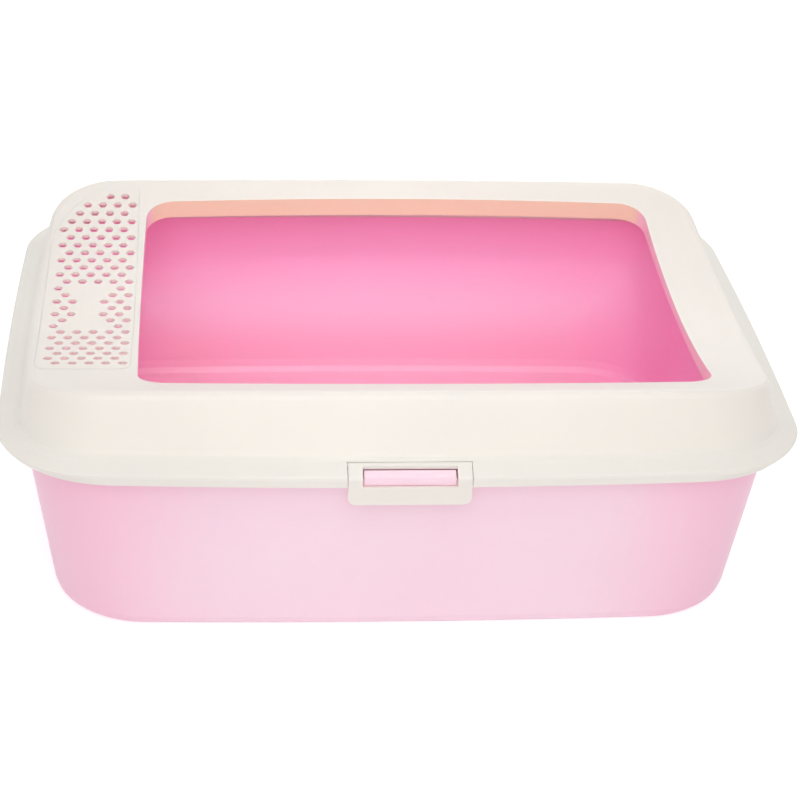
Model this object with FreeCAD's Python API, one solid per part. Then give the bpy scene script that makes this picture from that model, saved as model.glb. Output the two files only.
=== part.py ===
import FreeCAD, Part
import math
import os
from FreeCAD import Vector

# Litter box: a tapered tub, a frame with a saddle-shaped top that lifts off it, a perforated step
# panel let into the frame, and two buckles that hold the frame to the tub.
# Millimetres. Origin under the middle of the tub, X along the box, Y to the back, Z up.

# Rim of the frame, seen from above: a rectangle with bowed sides and round corners
rim_length = 520.0
rim_depth = 392.0
rim_corner_radius = 63.0
end_bow = 4.5
side_bow = 9.6

# Tub
basin_height = 132.5
basin_top_inset = 15.0
basin_top_corner_radius = 58.0
basin_bottom_length = 455.0
basin_bottom_depth = 341.0
basin_bottom_corner_radius = 62.0
basin_bottom_bow = 5.0
basin_wall = 2.6
basin_floor = 4.0
basin_edge_round = 8.0
basin_inner_round = 10.0
foot_width = 16.0
foot_height = 1.4
flange_thickness = 2.6
flange_edge_height = 5.0
upstand_height = 6.5

# Frame: lip, shoulder and leaning wall, from the rim inwards and up
frame_wall = 2.4
lip_height = 6.6
lip_rise = 3.0
lip_corner_radius = 78.0
shoulder_width = 14.0
shoulder_rise = 7.0
side_wall_run = 18.5
end_wall_run = 11.0
wall_rise = 36.0
wall_top_corner_radius = 43.0
wall_top_bow = 3.0
saddle_dip = 27.0
ridge_round = 5.0
shoulder_round = 3.0
lip_radius = 3.0
seat_rib_width = 2.2

# Opening for the cat, in the top of the frame
opening_right_margin = 58.0
opening_depth = 281.0
opening_corner_radius = 20.0
opening_lip_at_sides = 13.0
opening_lip_at_ends = 7.0

# Step panel
grid_thickness = 2.2
grid_rim_inset = 23.3
grid_far_corner_radius = 87.0
grid_width = 62.4
grid_front_margin = 92.0
grid_back_margin = 40.5
grid_to_opening = 3.8
grid_corner_radius = 8.0
ledge_width = 1.6
ledge_thickness = 2.0
hole_across_corners = 6.7
hole_pitch = 10.8
hole_row_pitch = 9.33
hole_border = 1.5
hole_first_row_inset = 13.6
hole_first_column_inset = 14.2
blank_column = 1.5
blank_row = 15
blank_rows_each_way = 3
blank_waist = 6.0
blank_flare = 6.0

# Buckles
latch_width = 77.0
latch_thickness = 2.2
latch_bar_height = 12.4
latch_corner_radius = 5.0
window_width = 59.0
barrel_radius = 2.0
hinge_inset = 10.0
trunnion_radius = 1.2
trunnion_length = 4.4
ear_width = 5.0
lug_depth = 5.0
lug_recess = 2.0

# Fineness of the roundings: bands across a wide or a narrow one, points along each stretch of the ridge
wide_bands = 3
narrow_bands = 2
ridge_points = 7

# Clearances
lip_clearance = 0.6
seam = 0.4
grid_clearance = 0.12
pivot_clearance = 0.05
barrel_clearance = 0.3
lug_side_clearance = 1.0
lug_front_clearance = 0.4
lug_bar_clearance = 0.3
latch_relief = 1.5
overrun = 30.0
touch = 0.005


class Outline:
    """A rectangle with bowed sides and round corners, made of eight tangent arcs."""

    def __init__(self, length, depth, end_radius, side_radius, corner_radius, mid_x=0):
        self.length = length
        self.depth = depth
        self.end_radius = end_radius
        self.side_radius = side_radius
        self.corner_radius = corner_radius
        self.mid_x = mid_x

    def sizes(self):
        return (self.length, self.depth, self.end_radius, self.side_radius, self.corner_radius, self.mid_x)

    def inset(self, gap):
        return Outline(self.length - 2 * gap, self.depth - 2 * gap, self.end_radius - gap,
                       self.side_radius - gap, self.corner_radius - gap, self.mid_x)

    def with_corner(self, radius):
        return Outline(self.length, self.depth, self.end_radius, self.side_radius, radius, self.mid_x)

    def corner_points(self):
        """End touch point, middle and side touch point of the corner arc at +X, +Y."""
        side_centre = Vector(0, self.depth / 2 - self.side_radius, 0)
        end_centre = Vector(self.length / 2 - self.end_radius, 0, 0)
        to_side = self.side_radius - self.corner_radius
        to_end = self.end_radius - self.corner_radius
        apart = end_centre - side_centre
        along = (to_side ** 2 - to_end ** 2 + apart.Length ** 2) / (2 * apart.Length)
        across = math.sqrt(to_side ** 2 - along ** 2)
        unit = apart / apart.Length
        centre = side_centre + unit * along + Vector(unit.y, -unit.x, 0) * across
        side_touch = side_centre + (centre - side_centre) * (self.side_radius / to_side)
        end_touch = end_centre + (centre - end_centre) * (self.end_radius / to_end)
        outwards = side_touch + end_touch - centre * 2
        middle = centre + outwards * (self.corner_radius / outwards.Length)
        return [end_touch, middle, side_touch]

    def wire(self, z):
        half_length = self.length / 2
        half_depth = self.depth / 2
        corner = self.corner_points()
        quadrants = [(1, 1, 1), (-1, 1, -1), (-1, -1, 1), (1, -1, -1)]
        apexes = [(0, half_depth), (-half_length, 0), (0, -half_depth), (half_length, 0)]
        arcs = [[Vector(self.mid_x + sx * p.x, sy * p.y, z) for p in corner[::step]]
                for sx, sy, step in quadrants]
        edges = []
        for arc, following, apex in zip(arcs, arcs[1:] + arcs[:1], apexes):
            edges.append(Part.Arc(*arc).toShape())
            crown = Vector(self.mid_x + apex[0], apex[1], z)
            edges.append(Part.Arc(arc[2], crown, following[0]).toShape())
        return Part.Wire(edges)

    def prism(self, bottom, top):
        return Part.Face(self.wire(bottom)).extrude(Vector(0, 0, top - bottom))


def bow_radius(chord, bow):
    return (chord ** 2 / 4 + bow ** 2) / (2 * bow)


def between(low, high, share):
    return low + (high - low) * share


def curve_weights(bands):
    """Weights of start, corner and end for the points of a rounding, along a quadratic curve."""
    shares = [band / bands for band in range(bands + 1)]
    return [((1 - share) ** 2, 2 * share * (1 - share), share ** 2) for share in shares]


def rounded(bands, *bend):
    """Sections that round off the middle one of three; a section is an outline and its height."""
    rows = list(zip(*[outline.sizes() + (z,) for outline, z in bend]))
    sections = []
    for weights in curve_weights(bands):
        *sizes, z = [sum(weight * size for weight, size in zip(weights, row)) for row in rows]
        sections.append((Outline(*sizes), z))
    return sections


def wires(sections):
    return [outline.wire(z) for outline, z in sections]


def loft(sections):
    return Part.makeLoft(wires(sections), True, True)


def edges_where(shape, test):
    """Edges whose two ends and middle all pass the test."""
    edge_shares = (0, 0.5, 1)
    found = []
    for edge in shape.Edges:
        first, last = edge.ParameterRange
        points = [edge.valueAt(between(first, last, share)) for share in edge_shares]
        if all(test(point) for point in points):
            found.append(edge)
    return found


def near(value, target):
    return abs(value - target) < touch


# Levels and lines that several pieces share
rim = Outline(rim_length, rim_depth, bow_radius(rim_depth, end_bow), bow_radius(rim_length, side_bow),
              rim_corner_radius)
flange_top = basin_height - upstand_height
lip_top = flange_top + lip_rise
lip_bottom = lip_top - lip_height
shoulder_top = lip_top + shoulder_rise
ridge_top = shoulder_top + wall_rise
saddle_low = ridge_top - saddle_dip
saddle_span = rim_depth - 2 * (shoulder_width + side_wall_run)
saddle_radius = bow_radius(saddle_span, saddle_dip)
shoulder_slope = shoulder_rise / shoulder_width
shoulder_angle = math.atan(shoulder_slope)
shoulder_drop = frame_wall / math.cos(shoulder_angle)
lip_round = lip_radius * math.tan((math.pi / 2 - shoulder_angle) / 2)
wall_lean = side_wall_run / wall_rise
wall_across = frame_wall * math.hypot(1, wall_lean)
flange_inset = frame_wall + lip_clearance

# Places of the step panel, its first hole and the opening, from the middle of the box
grid_left = rim_length / 2 - grid_rim_inset
grid_right = grid_left - grid_width
grid_front = rim_depth / 2 - grid_front_margin
grid_back = rim_depth / 2 - grid_back_margin
hole_first_row = grid_back - hole_first_row_inset
hole_first_column = grid_left - hole_first_column_inset
opening_left = grid_right - grid_to_opening
opening_right = rim_length / 2 - opening_right_margin

# Hinge line of a buckle, in its own frame: distance in from the rim, and height
hinge_in = hinge_inset + barrel_radius * math.sin(shoulder_angle)
hinge_z = lip_top + hinge_inset * shoulder_slope - barrel_radius * math.cos(shoulder_angle)

# The two sides that carry a buckle: turn about Z, and the middle of the rim there
buckle_sides = {
    "front": (0, Vector(0, -rim_depth / 2, 0)),
    "rear": (180, Vector(0, rim_depth / 2, 0)),
}


def on_side(shape, side):
    """A shape drawn at the rim, X along it and Y inwards, placed on one side of the box."""
    turn, middle = buckle_sides[side]
    placed = shape.copy()
    placed.rotate(Vector(0, 0, 0), Vector(0, 0, 1), turn)
    placed.translate(middle)
    return placed


def on_both_sides(shape):
    return [on_side(shape, side) for side in buckle_sides]


def block(width, y_from, y_to, z_from, z_to):
    """A box centred on the buckle's middle."""
    return Part.makeBox(width, y_to - y_from, z_to - z_from, Vector(-width / 2, y_from, z_from))


def rod(radius, length):
    """A rod along the hinge line, centred on the buckle's middle."""
    return Part.makeCylinder(radius, length, Vector(-length / 2, hinge_in, hinge_z), Vector(1, 0, 0))


def above_arc(low, radius):
    """Everything above a trough along X, whose bottom is at height low."""
    reach_y = rim_depth / 2
    reach_x = rim_length / 2 + overrun
    ceiling = ridge_top + saddle_dip + overrun
    side_z = low + radius - math.sqrt(radius ** 2 - reach_y ** 2)
    corners = [Vector(-reach_x, y, z) for y, z in
               ((-reach_y, side_z), (0, low), (reach_y, side_z), (reach_y, ceiling), (-reach_y, ceiling))]
    edges = [Part.Arc(*corners[:3]).toShape(), Part.makeLine(corners[2], corners[3]),
             Part.makeLine(corners[3], corners[4]), Part.makeLine(corners[4], corners[0])]
    return Part.Face(Part.Wire(edges)).extrude(Vector(2 * reach_x, 0, 0))


def above_saddle(drop):
    return above_arc(saddle_low - drop, saddle_radius + drop)


def saddle_z(y, drop):
    return saddle_low + saddle_radius - math.sqrt((saddle_radius + drop) ** 2 - y ** 2)


def basin_outline(z):
    """Outside of the tub's wall at a height."""
    share = z / basin_height
    top = rim.inset(basin_top_inset)
    bottom_side_radius = bow_radius(basin_bottom_length, basin_bottom_bow)
    return Outline(between(basin_bottom_length, top.length, share),
                   between(basin_bottom_depth, top.depth, share),
                   top.end_radius, between(bottom_side_radius, top.side_radius, share),
                   between(basin_bottom_corner_radius, basin_top_corner_radius, share))


def lip_outline(z):
    """Outside of the frame's lip at a height: it tucks in towards the bottom at the corners."""
    share = (z - lip_bottom) / lip_height
    return rim.with_corner(between(lip_corner_radius, rim_corner_radius, share))


def catch_lug():
    """The lug that shows in a buckle's window, with a top that follows the frame's shoulder."""
    front = latch_thickness + lug_front_clearance
    back = front + lug_depth
    recess = lug_recess / math.cos(shoulder_angle)
    half = (window_width - 2 * lug_side_clearance) / 2
    bottom = lip_bottom + lug_bar_clearance
    profile = [(front, bottom), (back, bottom), (back, lip_top + back * shoulder_slope - recess),
               (front, lip_top + front * shoulder_slope - recess)]
    points = [Vector(-half, y, z) for y, z in profile + profile[:1]]
    return Part.Face(Part.makePolygon(points)).extrude(Vector(2 * half, 0, 0))


def basin():
    edge = basin_edge_round
    bend = [(basin_outline(0).inset(edge), 0), (basin_outline(0), 0), (basin_outline(edge), edge)]
    shell = loft(rounded(wide_bands, *bend) + [(basin_outline(basin_height), basin_height)])
    flange = lip_outline(lip_bottom).inset(flange_inset)
    plate = flange.prism(flange_top - flange_thickness, flange_top)
    hem = flange.prism(flange_top - flange_edge_height, flange_top)
    hem = hem.cut(flange.inset(basin_wall).prism(0, basin_height))
    reliefs = on_both_sides(block(latch_width + 2 * latch_relief, -overrun, flange_inset + latch_relief,
                                 0, basin_height))
    collar = plate.fuse(hem).cut(reliefs)
    inner_levels = (basin_floor, basin_floor, basin_floor + basin_inner_round, basin_height + overrun)
    inner_insets = (basin_wall + basin_inner_round, basin_wall, basin_wall, basin_wall)
    *bend, top = [(basin_outline(z).inset(gap), z) for z, gap in zip(inner_levels, inner_insets)]
    inside = loft(rounded(wide_bands, *bend) + [top])
    recess = basin_outline(0).inset(edge + foot_width).prism(-overrun, foot_height)
    tub = shell.fuse([collar] + on_both_sides(catch_lug()))
    return tub.cut([inside, recess]).removeSplitter()


def hood_outline(z):
    """Outside of the frame's leaning wall at a height above the shoulder."""
    share = (z - shoulder_top) / wall_rise
    foot = rim.inset(shoulder_width)
    top_side_radius = bow_radius(foot.length - 2 * end_wall_run, wall_top_bow)
    return Outline(foot.length - 2 * end_wall_run * share, foot.depth - 2 * side_wall_run * share,
                   foot.end_radius, between(foot.side_radius, top_side_radius, share),
                   between(foot.corner_radius, wall_top_corner_radius, share))


def ridge_curve(foot, top, inwards):
    """Points round the ridge where the wall's line from foot to top meets the saddle, last one above it."""
    wall = (top - foot).normalize()
    ridge = foot
    for _ in range(ridge_points):
        ridge = ridge + wall * ((saddle_z(ridge.y, 0) - ridge.z) / wall.z)
    slope = ridge.y / math.sqrt(saddle_radius ** 2 - ridge.y ** 2)
    deck = Vector(inwards.x, inwards.y, inwards.y * slope).normalize()
    low = ridge - wall * ridge_round
    far = ridge + deck * ridge_round
    curve = [low * start + ridge * middle + far * end for start, middle, end in curve_weights(wide_bands)]
    return curve[:-1] + [far * 2 - curve[-2]]


def ridge_wires():
    """Rings that round off the edge between the leaning wall and the saddle."""
    feet = hood_outline(shoulder_top).wire(shoulder_top).OrderedEdges
    tops = hood_outline(ridge_top).wire(ridge_top).OrderedEdges
    rings = [[] for _ in range(wide_bands + 1)]
    for foot, top in zip(feet, tops):
        stretch = []
        for step in range(ridge_points):
            share = step / (ridge_points - 1)
            foot_at = between(*foot.ParameterRange, share)
            top_at = between(*top.ParameterRange, share)
            along = top.tangentAt(top_at)
            inwards = Vector(-along.y, along.x, 0)
            stretch.append(ridge_curve(foot.valueAt(foot_at), top.valueAt(top_at), inwards))
        for ring, points in zip(rings, zip(*stretch)):
            curve = Part.BSplineCurve()
            curve.interpolate(list(points))
            ring.append(curve.toShape())
    return [Part.Wire(ring) for ring in rings]


def shoulder_section(gap):
    return rim.inset(gap), lip_top + gap * shoulder_slope


def hood_section(z):
    return hood_outline(z), z


def frame_outside():
    lip_bend = lip_top - lip_round
    sections = [(lip_outline(lip_bottom), lip_bottom)]
    sections += rounded(narrow_bands, (lip_outline(lip_bend), lip_bend), (rim, lip_top),
                        shoulder_section(lip_round))
    sections += rounded(narrow_bands, shoulder_section(shoulder_width - shoulder_round),
                        shoulder_section(shoulder_width), hood_section(shoulder_top + shoulder_round))
    lid = (hood_outline(ridge_top).inset(2 * ridge_round), ridge_top + overrun)
    hood = Part.makeLoft(wires(sections) + ridge_wires() + wires([lid]), True, True)
    return hood.cut(above_saddle(0))


def frame_inside():
    """The hollow under the frame, one wall in from its outside."""
    lip_inside = lip_outline(lip_bottom).inset(frame_wall)
    lip_bend = lip_top + frame_wall * shoulder_slope - shoulder_drop
    rise_share = 1 - wall_lean * shoulder_slope
    bend_in = (shoulder_width + wall_across - wall_lean * (shoulder_rise + shoulder_drop)) / rise_share
    bend_z = lip_top + bend_in * shoulder_slope - shoulder_drop
    sections = [(lip_inside, lip_bottom - overrun), (lip_inside, lip_bottom),
                (lip_outline(lip_bend).inset(frame_wall), lip_bend),
                (hood_outline(bend_z).inset(wall_across), bend_z),
                (hood_outline(ridge_top + overrun).inset(wall_across), ridge_top + overrun)]
    return loft(sections).cut(above_saddle(frame_wall))


def opening_outline():
    return Outline(opening_left + opening_right, opening_depth, rim.end_radius, rim.side_radius,
                   opening_corner_radius, (opening_right - opening_left) / 2)


def opening_lip():
    """The hanging lip round the opening, deeper at the sides than at the ends."""
    low = saddle_low - opening_lip_at_ends
    radius = bow_radius(opening_depth, saddle_z(opening_depth / 2, 0) - opening_lip_at_sides - low)
    return opening_outline().inset(-frame_wall).prism(lip_bottom, ridge_top).common(above_arc(low, radius))


def grid_plan(grow):
    """The step panel's outline as a tall prism, grown outwards all round."""
    outer = rim.inset(grid_rim_inset - grow).with_corner(grid_far_corner_radius + grow)
    right = -grid_right + grow
    front = -grid_front - grow
    back = grid_back + grow
    crop_from = Vector(right - rim_length / 2, front, lip_top)
    crop = Part.makeBox(rim_length / 2, back - front, ridge_top, crop_from)
    plan = outer.prism(lip_top, lip_top + ridge_top).common(crop)
    corners = edges_where(plan, lambda p: near(p.x, right) or near(p.y, front) or near(p.y, back))
    corners = [edge for edge in corners if near(edge.BoundBox.ZLength, ridge_top)]
    return plan.makeFillet(grid_corner_radius + grow, corners)


def hole_rows():
    return range(int((hole_first_row + grid_front) / hole_row_pitch) + 1)


def grid_holes():
    """Hexagon holes in staggered rows, with a plain waisted field left blank near the middle."""
    radius = hole_across_corners / 2
    room = grid_plan(-hole_border - radius)
    blank_x = -hole_first_column + hole_pitch * blank_column
    holes = []
    for row in hole_rows():
        y = hole_first_row - row * hole_row_pitch
        stagger = 0 if row % 2 else hole_pitch / 2
        rows_off = abs(row - blank_row)
        blank_reach = blank_waist + blank_flare * rows_off / blank_rows_each_way
        for column in range(int((hole_first_column - grid_right) / hole_pitch) + 2):
            x = -hole_first_column + column * hole_pitch - stagger
            blank = rows_off <= blank_rows_each_way and abs(x - blank_x) < blank_reach
            if blank or not room.isInside(Vector(x, y, ridge_top), touch, False):
                continue
            turns = [math.radians(60 * corner) for corner in range(7)]
            spokes = [Vector(math.cos(turn), math.sin(turn), 0) for turn in turns]
            corners = [Vector(x, y, lip_top) + spoke * radius for spoke in spokes]
            holes.append(Part.Face(Part.makePolygon(corners)).extrude(Vector(0, 0, ridge_top)))
    return holes


def step_grid():
    """The panel follows the saddle in flat strips, one to a row of holes."""
    left = -rim_length / 2
    row_joints = [hole_first_row - (row - 1 / 2) * hole_row_pitch for row in hole_rows()]
    lines = [grid_back + overrun] + row_joints + [-grid_front - overrun]
    profile = [Vector(left, y, saddle_z(y, 0)) for y in lines]
    profile += [Vector(left, y, saddle_z(y, grid_thickness)) for y in reversed(lines)]
    strip = Part.Face(Part.makePolygon(profile + profile[:1])).extrude(Vector(rim_length / 2, 0, 0))
    return grid_plan(0).common(strip).cut(Part.makeCompound(grid_holes()))


def latch_zone(extra):
    return latch_width + 2 * seam + 2 * extra


def hinge_ears():
    """The two ears under the shoulder that carry a buckle's trunnions."""
    levels = (flange_top + seam, ridge_top)
    ears = block(latch_zone(ear_width), hinge_in - barrel_radius - frame_wall, basin_top_inset - lip_clearance,
                 *levels)
    return ears.cut(block(latch_zone(0), -overrun, overrun, *levels))


def seat_rib():
    """The rib that stands on the top of the tub's wall."""
    wall_line = basin_outline(basin_height)
    hollow = wall_line.inset(seat_rib_width).prism(0, ridge_top + overrun)
    return wall_line.prism(basin_height, ridge_top).cut(hollow)


def splash_frame():
    bed_drop = grid_thickness + grid_clearance
    bed = grid_plan(grid_clearance + frame_wall).common(above_saddle(bed_drop + ledge_thickness))
    hollow = frame_inside().cut([opening_lip(), bed, seat_rib()] + on_both_sides(hinge_ears()))
    pocket = grid_plan(grid_clearance).common(above_saddle(bed_drop))
    notch = block(latch_zone(0), -overrun, hinge_in, 0, ridge_top)
    notch = notch.fuse(rod(barrel_radius + barrel_clearance, latch_zone(0)))
    bores = rod(trunnion_radius + pivot_clearance, latch_zone(ear_width))
    opening = opening_outline().prism(0, ridge_top + overrun)
    cuts = [hollow, opening, pocket, grid_plan(-ledge_width)] + on_both_sides(notch) + on_both_sides(bores)
    return frame_outside().cut(cuts)


def latch():
    """A buckle: a plate bent like the lip, with a window, a finger bar and a barrel on trunnions."""
    top_z = lip_top + hinge_inset * shoulder_slope
    bar_z = lip_bottom - latch_bar_height
    bend_z = lip_top + latch_thickness * (shoulder_slope - 1 / math.cos(shoulder_angle))
    inner_top = (hinge_inset + latch_thickness * math.sin(shoulder_angle),
                 top_z - latch_thickness * math.cos(shoulder_angle))
    profile = [(hinge_inset, top_z), (0, lip_top), (0, bar_z), (latch_thickness, bar_z),
               (latch_thickness, bend_z), inner_top]
    points = [Vector(-latch_width / 2, y, z) for y, z in profile + profile[:1]]
    plate = Part.Face(Part.makePolygon(points)).extrude(Vector(latch_width, 0, 0))
    bend = edges_where(plate, lambda point: near(point.y, 0) and near(point.z, lip_top))
    plate = plate.makeFillet(lip_radius, bend)
    low_corners = edges_where(plate, lambda point: near(point.z, bar_z) and near(abs(point.x), latch_width / 2))
    plate = plate.makeFillet(latch_corner_radius, low_corners)
    window = block(window_width, -overrun, hinge_in - barrel_radius - seam, lip_bottom, ridge_top)
    barrel = rod(barrel_radius, latch_width)
    trunnions = rod(trunnion_radius, latch_width + 2 * trunnion_length)
    return plate.cut(window).fuse([barrel, trunnions])


nodes = {"basin": basin(), "splash_frame": splash_frame(), "step_grid": step_grid()}
for side in buckle_sides:
    nodes[side + "_latch"] = on_side(latch(), side)

os.makedirs("parts", exist_ok=True)
for name, shape in nodes.items():
    solid, = shape.Solids
    solid.exportStep("parts/" + name + ".step")
    print(name, solid.isValid(), round(solid.Volume))
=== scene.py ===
import math
import bpy
from mathutils import Matrix, Vector

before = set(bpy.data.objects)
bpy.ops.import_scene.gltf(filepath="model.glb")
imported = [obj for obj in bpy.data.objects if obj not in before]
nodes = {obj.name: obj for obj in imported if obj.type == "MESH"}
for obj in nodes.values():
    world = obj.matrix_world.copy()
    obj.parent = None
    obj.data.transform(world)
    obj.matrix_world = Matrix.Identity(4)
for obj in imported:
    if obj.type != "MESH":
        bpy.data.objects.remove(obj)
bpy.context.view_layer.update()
print("frame loaded:", ", ".join(sorted(nodes)))

white = (1, 1, 1, 1)

# the viewer: eye in metres, turns in degrees, focal length and slide in pixels of an 800 pixel picture
viewer = {
    "eye": (-0.123911, -1.301604, 0.817657),
    "yaw": 5.182,
    "pitch": 29.68,
    "roll": -2.4,
    "focalPixels": 2125.161,
    "picturePixels": 800,
    "sensorMillimetres": 36,
    "slidePixels": 24,
    "farthest": 60,
}


def makeCamera(spec):
    yaw, pitch, roll = (math.radians(spec[turn]) for turn in ("yaw", "pitch", "roll"))
    ahead = Vector((math.sin(yaw) * math.cos(pitch), math.cos(yaw) * math.cos(pitch), -math.sin(pitch)))
    level = Vector((math.cos(yaw), -math.sin(yaw), 0))
    down = ahead.cross(level)
    sideways = level * math.cos(roll) + down * math.sin(roll)
    upwards = level * math.sin(roll) - down * math.cos(roll)
    data = bpy.data.cameras.new("viewer")
    data.sensor_width = spec["sensorMillimetres"]
    data.lens = spec["focalPixels"] * spec["sensorMillimetres"] / spec["picturePixels"]
    data.shift_x = spec["slidePixels"] / spec["picturePixels"]
    data.clip_end = spec["farthest"]
    camera = bpy.data.objects.new("viewer", data)
    camera.matrix_world = Matrix((sideways, upwards, -ahead)).transposed().to_4x4()
    camera.location = spec["eye"]
    bpy.context.scene.collection.objects.link(camera)
    bpy.context.scene.camera = camera


makeCamera(viewer)
print("camera set")


# a small helper for node trees: an input takes a plain value or another node's output
class Tree:
    def __init__(self, tree):
        self.tree = tree

    def add(self, kind, settings=None, inputs=None):
        node = self.tree.nodes.new(kind)
        for name, value in (settings or {}).items():
            setattr(node, name, value)
        for name, value in (inputs or {}).items():
            self.feed(node, name, value)
        return node

    def feed(self, node, name, value):
        socket = node.inputs[name]
        if isinstance(value, bpy.types.NodeSocket):
            self.tree.links.new(value, socket)
        else:
            socket.default_value = value

    def maths(self, operation, first, second=0.0):
        return self.add("ShaderNodeMath", {"operation": operation}, {0: first, 1: second}).outputs[0]

    def vectors(self, operation, first, second):
        return self.add("ShaderNodeVectorMath", {"operation": operation}, {0: first, 1: second}).outputs

    def split(self, vector):
        return self.add("ShaderNodeSeparateXYZ", {}, {0: vector}).outputs

    # inputs 6 and 7 are the colour pair of a mix node, and output 2 is its colour
    def blend(self, share, first, second):
        return self.add("ShaderNodeMix", {"data_type": "RGBA"}, {0: share, 6: first, 7: second}).outputs[2]

    # 0 at the first limit and 1 at the second, with a soft start and end
    def span(self, value, limits):
        inputs = {"Value": value, "From Min": limits[0], "From Max": limits[1]}
        return self.add("ShaderNodeMapRange", {"interpolation_type": "SMOOTHSTEP"}, inputs).outputs[0]

    def noise(self, place, look):
        return self.add("ShaderNodeTexNoise", {}, dict(look, Vector=place)).outputs["Fac"]

    # 1 for what the lens sees, straight or by reflection, and 0 for light that falls on the object
    def seenByLens(self):
        path = self.add("ShaderNodeLightPath").outputs
        mirrored = self.maths("MAXIMUM", path["Is Camera Ray"], path["Is Glossy Ray"])
        return self.maths("MAXIMUM", mirrored, path["Is Transmission Ray"])


def makeGroup(name, sockets):
    group = bpy.data.node_groups.new(name, "ShaderNodeTree")
    for way, kind, label, start in sockets:
        socket = group.interface.new_socket(label, in_out=way, socket_type="NodeSocket" + kind)
        if start is not None:
            socket.default_value = start
    tree = Tree(group)
    return group, tree, tree.add("NodeGroupInput").outputs, tree.add("NodeGroupOutput")


# moulded grain: spark texture of the mould, long shallow waves of the cooled wall, and cloudy gloss
grainLook = {
    "spark": {"Detail": 3.0, "Roughness": 0.6},
    "waves": {"Scale": 14.0, "Detail": 1.0, "Roughness": 0.4},
    "clouds": {"Scale": 9.0, "Detail": 4.0, "Roughness": 0.55},
    "sparkShare": 0.35,  # of the spark, beside the waves in the height and the clouds in the gloss
    "noiseMiddle": 0.5,
    "glossSwing": 2.0,  # noise strays half a unit from its middle, so twice that is the whole spread
}


def makeMouldedGrain(look):
    group, tree, given, result = makeGroup("mouldedGrain", [
        ("INPUT", "Vector", "Place", None),
        ("INPUT", "Float", "Grain Size", 900.0),
        ("INPUT", "Float", "Gloss Middle", 0.4),
        ("INPUT", "Float", "Gloss Spread", 0.08),
        ("OUTPUT", "Float", "Height", None),
        ("OUTPUT", "Float", "Roughness", None),
        ("OUTPUT", "Float", "Cloud", None),
    ])
    place = given["Place"]
    spark = tree.noise(place, dict(look["spark"], Scale=given["Grain Size"]))
    waves = tree.noise(place, look["waves"])
    cloud = tree.noise(place, look["clouds"])
    height = tree.maths("ADD", tree.maths("MULTIPLY", spark, look["sparkShare"]), waves)
    patch = tree.maths("SUBTRACT", cloud, look["noiseMiddle"])
    fine = tree.maths("MULTIPLY", tree.maths("SUBTRACT", spark, look["noiseMiddle"]), look["sparkShare"])
    stray = tree.maths("MULTIPLY", tree.maths("ADD", patch, fine), given["Gloss Spread"])
    gloss = tree.maths("ADD", given["Gloss Middle"], tree.maths("MULTIPLY", stray, look["glossSwing"]))
    tree.feed(result, "Height", height)
    tree.feed(result, "Roughness", gloss)
    tree.feed(result, "Cloud", cloud)
    return group


# handling wear: fine level scuffs, denser towards a height where the piece is gripped or stands
wearLook = {
    "stretch": (260.0, 260.0, 1900.0),  # finer up and down than along the wall
    "scratches": {"Scale": 1.0, "Detail": 2.0, "Roughness": 0.7},
    "peaks": (0.62, 0.78),  # only the peaks of the noise show
    "nearness": (0.0, 1.0),
}


def makeHandlingWear(look):
    group, tree, given, result = makeGroup("handlingWear", [
        ("INPUT", "Vector", "Place", None),
        ("INPUT", "Float", "Height", 0.0),
        ("INPUT", "Float", "Reach", 0.02),
        ("OUTPUT", "Float", "Mask", None),
    ])
    stretched = tree.add("ShaderNodeMapping", {}, {"Vector": given["Place"], "Scale": look["stretch"]})
    scuffs = tree.span(tree.noise(stretched.outputs[0], look["scratches"]), look["peaks"])
    apart = tree.maths("ABSOLUTE", tree.maths("SUBTRACT", tree.split(given["Place"])["Z"], given["Height"]))
    nearness = tree.maths("SUBTRACT", 1.0, tree.maths("DIVIDE", apart, given["Reach"]))
    tree.feed(result, "Mask", tree.maths("MULTIPLY", scuffs, tree.span(nearness, look["nearness"])))
    return group


mouldedGrain = makeMouldedGrain(grainLook)
handlingWear = makeHandlingWear(wearLook)
print("finish groups made")

# what all the plastics share, in metres where it is a length
plasticLook = {
    "bumpDepth": 0.002,
    "wearDullness": 0.2,
    "depthScale": 1.0,
    "cloudEdges": (0.35, 0.75),
}


# grain, wear, bump and a little light let through
def plasticBase(finish):
    material = bpy.data.materials.new(finish["name"])
    material.use_nodes = True
    tree = Tree(material.node_tree)
    shader = material.node_tree.nodes["Principled BSDF"]
    place = tree.add("ShaderNodeTexCoord").outputs["Object"]
    grain = tree.add("ShaderNodeGroup", {"node_tree": mouldedGrain}, {
        "Place": place, "Grain Size": finish["grainSize"],
        "Gloss Middle": finish["gloss"], "Gloss Spread": finish["glossSpread"]}).outputs
    wear = tree.add("ShaderNodeGroup", {"node_tree": handlingWear}, {
        "Place": place, "Height": finish["wearHeight"], "Reach": finish["wearReach"]}).outputs
    bump = tree.add("ShaderNodeBump", {}, {
        "Strength": finish["bump"], "Distance": plasticLook["bumpDepth"], "Height": grain["Height"]}).outputs
    dullness = tree.maths("MULTIPLY", wear["Mask"], plasticLook["wearDullness"])
    tree.feed(shader, "Roughness", tree.maths("ADD", grain["Roughness"], dullness))
    tree.feed(shader, "Normal", bump["Normal"])
    shader.inputs["Subsurface Weight"].default_value = finish["depth"]
    shader.inputs["Subsurface Radius"].default_value = finish["spread"]
    shader.inputs["Subsurface Scale"].default_value = plasticLook["depthScale"]
    clouds = tree.span(grain["Cloud"], plasticLook["cloudEdges"])
    colour = tree.blend(clouds, finish["colour"], finish["cloudColour"])
    return material, tree, shader, place, colour


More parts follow.
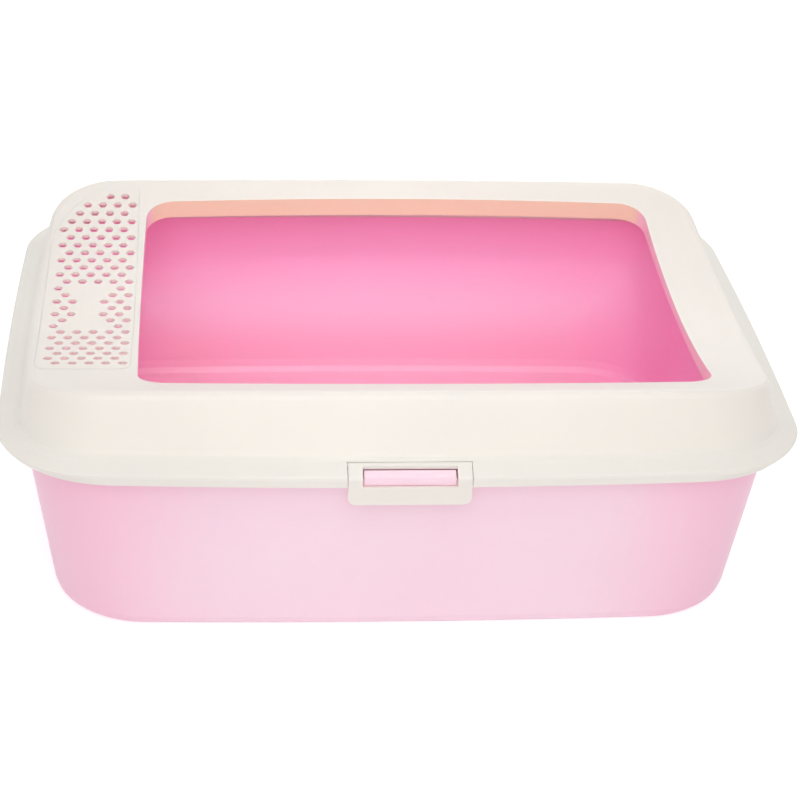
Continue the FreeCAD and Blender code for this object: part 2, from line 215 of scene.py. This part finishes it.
# the tub: limits are pairs in metres, from where a mask starts to where it is full, unless noted; the
# colours after the cloud colour are painted light and shade
tubFinish = {
    "name": "tubPink",
    "colour": (0.975, 0.73, 0.825, 1),
    "cloudColour": (0.96, 0.695, 0.80, 1),
    # painted shade: deeper pink for the outside corners, ends and back, which turn away from the front lamp
    "cornerShadeColour": (0.965, 0.55, 0.695, 1),
    # painted light: a lighter pink inside, standing in for light glowing through the thin walls
    "insideGlowColour": (1.0, 0.72, 0.89, 1),
    # painted shade: deeper pink on the tub's floor, and deepest high on the inner wall under the rim and at
    # the inner ends
    "floorColour": (0.98, 0.53, 0.70, 1),
    "insideShadeColour": (1.0, 0.45, 0.73, 1),
    "levelOnly": (1.0, 1.0, 0.0),  # takes the height out of a place
    "facesIn": (0.0, -0.02),  # normal by level place, below zero where a face looks to the middle
    "facesUp": (0.6, 0.9),  # the upward part of the normal
    "floorHeight": (0.03, 0.02),
    "floorShade": (0.07, 0.02),
    "rimShade": (0.03, 0.125),
    "insideEndShade": (0.14, 0.24),
    "corner": (0.01944, 0.03888),  # X times Y
    "backShade": (-0.13, -0.06),
    "endShade": (0.18, 0.225),
    "awayShadeShare": 0.7,  # of the painted corner shade on the ends and the back
    "gloss": 0.42,
    "glossSpread": 0.07,
    "grainSize": 1100.0,
    "bump": 0.05,
    "wearHeight": 0.0,
    "wearReach": 0.03,
    "depth": 0.12,
    "spread": (0.006, 0.003, 0.004),
}


# painted shade: richer pink at the outside corners, ends and back; inside, a painted lighter pink for light
# glowing through the walls, with painted shade deeper at the floor and most of all under the rim and at the
# ends
def makeTubPink(finish):
    material, tree, shader, place, outer = plasticBase(finish)
    normal = tree.add("ShaderNodeNewGeometry").outputs["Normal"]
    at = tree.split(place)
    sideways = tree.maths("ABSOLUTE", at["X"])
    levelPlace = tree.vectors("MULTIPLY", place, finish["levelOnly"])["Vector"]
    outwards = tree.vectors("DOT_PRODUCT", normal, levelPlace)["Value"]
    floorFace = tree.span(tree.split(normal)["Z"], finish["facesUp"])
    bottom = tree.maths("MULTIPLY", floorFace, tree.span(at["Z"], finish["floorHeight"]))
    inside = tree.maths("MAXIMUM", tree.span(outwards, finish["facesIn"]), bottom)
    cornerness = tree.maths("ABSOLUTE", tree.maths("MULTIPLY", at["X"], at["Y"]))
    backShade = tree.span(at["Y"], finish["backShade"])
    endShade = tree.span(sideways, finish["endShade"])
    awayShade = tree.maths("MULTIPLY", tree.maths("MAXIMUM", backShade, endShade), finish["awayShadeShare"])
    # painted shade on the outside corners, and a share of it on the back and the ends
    outsideShade = tree.maths("MAXIMUM", tree.span(cornerness, finish["corner"]), awayShade)
    outer = tree.blend(outsideShade, outer, finish["cornerShadeColour"])
    # inside: painted light at mid-height, going over into painted shade at the floor, under the rim and at
    # the ends
    insideLightAndShade = tree.blend(tree.span(at["Z"], finish["floorShade"]), finish["insideGlowColour"], finish["floorColour"])
    insideEndShadeMask = tree.span(sideways, finish["insideEndShade"])
    insideShade = tree.maths("MAXIMUM", tree.span(at["Z"], finish["rimShade"]), insideEndShadeMask)
    insideLightAndShade = tree.blend(insideShade, insideLightAndShade, finish["insideShadeColour"])
    tree.feed(shader, "Base Color", tree.blend(inside, outer, insideLightAndShade))
    return material


# the frame, the panel and the buckles
creamFinish = {
    "name": "frameCream",
    "colour": (0.85, 0.805, 0.74, 1),
    "cloudColour": (0.83, 0.785, 0.722, 1),
    # painted bounce light: peach and pink for the light that the pink tub throws onto the frame's shaded
    # hanging lip
    "lipPeachBounceColour": (0.93, 0.72, 0.53, 1),
    "lipPinkBounceColour": (0.98, 0.66, 0.74, 1),
    "gloss": 0.38,
    "glossSpread": 0.07,
    "grainSize": 1000.0,
    "bump": 0.05,
    "wearHeight": 0.172,
    "wearReach": 0.02,
    "depth": 0.12,
    "spread": (0.010, 0.006, 0.004),
}
panelFinish = dict(creamFinish, name="panelCream", grainSize=1300.0)
buckleFinish = dict(creamFinish, name="buckleCream", wearHeight=0.113, gloss=0.34)

# the opening in the frame's top, in metres, and how its hanging lip is told from the rest
opening = {
    "middle": 0.0158,
    "halfLength": 0.1863,
    "halfDepth": 0.1405,
    "lipEdge": (0.0035, 0.0015),  # beyond the opening
    "lipFacing": (0.4, 0.8),  # the level part of the normal
}


# painted bounce light: peach on the long sides of the hanging lip and pink on its ends, for the warm light
# that the pink tub throws onto the shaded lip
def paintLipBounceLight(tree, place, colour, finish, hole):
    at = tree.split(place)
    facing = tree.split(tree.add("ShaderNodeNewGeometry").outputs["Normal"])
    alongX = tree.maths("ABSOLUTE", tree.maths("SUBTRACT", at["X"], hole["middle"]))
    alongY = tree.maths("ABSOLUTE", at["Y"])
    withinX = tree.span(alongX, [hole["halfLength"] + edge for edge in hole["lipEdge"]])
    withinY = tree.span(alongY, [hole["halfDepth"] + edge for edge in hole["lipEdge"]])
    within = tree.maths("MULTIPLY", withinX, withinY)
    # paints the bounce light onto the lip's inner faces
    for axis, bounceLightKey in (("X", "lipPinkBounceColour"), ("Y", "lipPeachBounceColour")):
        turned = tree.span(tree.maths("ABSOLUTE", facing[axis]), hole["lipFacing"])
        colour = tree.blend(tree.maths("MULTIPLY", within, turned), colour, finish[bounceLightKey])
    return colour


def makeCream(finish, hole=None):
    material, tree, shader, place, colour = plasticBase(finish)
    if hole:
        # the painted bounce light on the hanging lip
        colour = paintLipBounceLight(tree, place, colour, finish, hole)
    tree.feed(shader, "Base Color", colour)
    return material


buckleCream = makeCream(buckleFinish)
finishes = {
    "basin": makeTubPink(tubFinish),
    "splash_frame": makeCream(creamFinish, opening),
    "step_grid": makeCream(panelFinish),
}
for name, node in nodes.items():
    node.data.materials.clear()
    node.data.materials.append(finishes.get(name, buckleCream))
print("finishes set on", len(nodes), "pieces")

# the room: a pale floor and a white surround, both brighter to the lens than as light on the object
room = {
    "reach": 8.0,
    "floorColour": (0.86, 0.86, 0.86, 1),
    "floorRough": 0.7,
    "floorGlow": 0.45,
    "surround": 0.62,
    "surroundSeen": 1.0,
}


def makeFloor(spec):
    reach = spec["reach"]
    corners = [(-reach, -reach, 0), (reach, -reach, 0), (reach, reach, 0), (-reach, reach, 0)]
    mesh = bpy.data.meshes.new("floor")
    mesh.from_pydata(corners, [], [range(len(corners))])
    floor = bpy.data.objects.new("floor", mesh)
    bpy.context.scene.collection.objects.link(floor)
    material = bpy.data.materials.new("floorWhite")
    material.use_nodes = True
    tree = Tree(material.node_tree)
    shader = material.node_tree.nodes["Principled BSDF"]
    shader.inputs["Roughness"].default_value = spec["floorRough"]
    shader.inputs["Base Color"].default_value = spec["floorColour"]
    shader.inputs["Emission Color"].default_value = white
    glow = tree.maths("MULTIPLY", tree.seenByLens(), spec["floorGlow"])  # so that it reads as white paper
    tree.feed(shader, "Emission Strength", glow)
    floor.data.materials.append(material)


# inputs 2 and 3 are the number pair of a mix node
def makeSurround(spec):
    world = bpy.data.worlds.new("studio")
    world.use_nodes = True
    tree = Tree(world.node_tree)
    back = world.node_tree.nodes["Background"]
    back.inputs["Color"].default_value = white
    pair = {0: tree.seenByLens(), 2: spec["surround"], 3: spec["surroundSeen"]}
    strength = tree.add("ShaderNodeMix", {"data_type": "FLOAT"}, pair)
    tree.feed(back, "Strength", strength.outputs[0])
    bpy.context.scene.world = world


makeFloor(room)
makeSurround(room)

# soft boxes: a broad one overhead, lower ones in front and behind, and a narrow one that looks into the tub
lamps = {
    "overhead": {"at": (0.0, 0.2, 2.2), "aim": (0.0, 0.0, 0.1), "size": 2.0, "power": 6.0, "spread": 180},
    "front": {"at": (-0.2, -2.1, 1.5), "aim": (0.0, 0.0, 0.1), "size": 1.6, "power": 17.5, "spread": 180},
    "rear": {"at": (0.5, 2.2, 1.2), "aim": (0.0, 0.0, 0.1), "size": 1.8, "power": 7.5, "spread": 180},
    "intoTub": {"at": (0.0, -0.8, 1.5), "aim": (0.0, 0.11, 0.06), "size": 0.3, "power": 0.105, "spread": 22},
}


def makeLamp(name, spec):
    data = bpy.data.lights.new(name, "AREA")
    data.size = spec["size"]
    data.energy = spec["power"]
    data.spread = math.radians(spec["spread"])
    lamp = bpy.data.objects.new(name, data)
    lamp.location = spec["at"]
    lamp.rotation_euler = (Vector(spec["aim"]) - Vector(spec["at"])).to_track_quat("-Z", "Y").to_euler()
    bpy.context.scene.collection.objects.link(lamp)


for name, spec in lamps.items():
    makeLamp(name, spec)

# many bounces, because the tub's walls light each other
bounces = {"diffuse": 20, "all": 24}
bpy.context.scene.cycles.diffuse_bounces = bounces["diffuse"]
bpy.context.scene.cycles.max_bounces = bounces["all"]
bpy.context.scene.view_settings.view_transform = "Standard"
print("studio lit")
